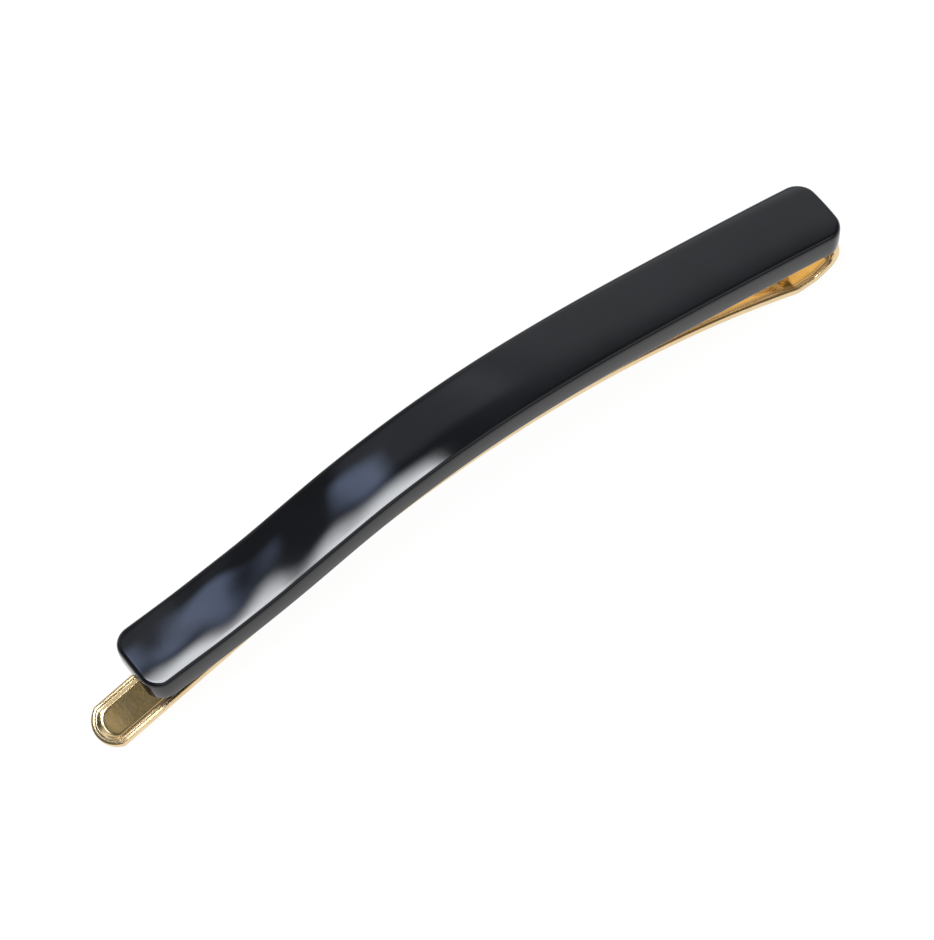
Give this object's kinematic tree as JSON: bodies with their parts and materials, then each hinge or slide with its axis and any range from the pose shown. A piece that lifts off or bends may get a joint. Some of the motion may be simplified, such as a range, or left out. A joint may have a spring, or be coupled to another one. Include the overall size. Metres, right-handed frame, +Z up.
{
  "type": "hair slide",
  "caption": "Slim arched acetate bar with a bent sprung strip bonded beneath it, whose free lower leg closes on the bar to hold a lock of hair.",
  "frame": {"origin": "on the surface that the slide stands on, halfway along its whole length and in its middle plane", "axes": "+X along the slide from the free tip to the folded loop, +Y across its width, +Z up, out of the arched face of the bar"},
  "size_m": [0.0856, 0.0076, 0.0138],
  "materials": {
    "black_acetate": "tumbled and buffed to a high gloss",
    "clear_adhesive": "cured clear adhesive",
    "gold_plated_steel": "bright gold plating on pressed spring steel"
  },
  "bodies": {
    "bar": {"acetate_bar": "black_acetate", "bond_film": "clear_adhesive", "upper_leg": "gold_plated_steel", "spring_fold": "gold_plated_steel"},
    "leg": {"lower_leg": "gold_plated_steel"}
  },
  "joints": [
    {"name": "leg_opening", "type": "hinge", "parent": "bar", "child": "leg", "pos_m": [0.04089, 0, 0.00338], "axis": [0, -1, 0], "range_deg": [0, 10], "stiffness_Nm_per_rad": 0.4, "springref_deg": -1.72, "deforming": ["spring_fold"]}
  ]
}
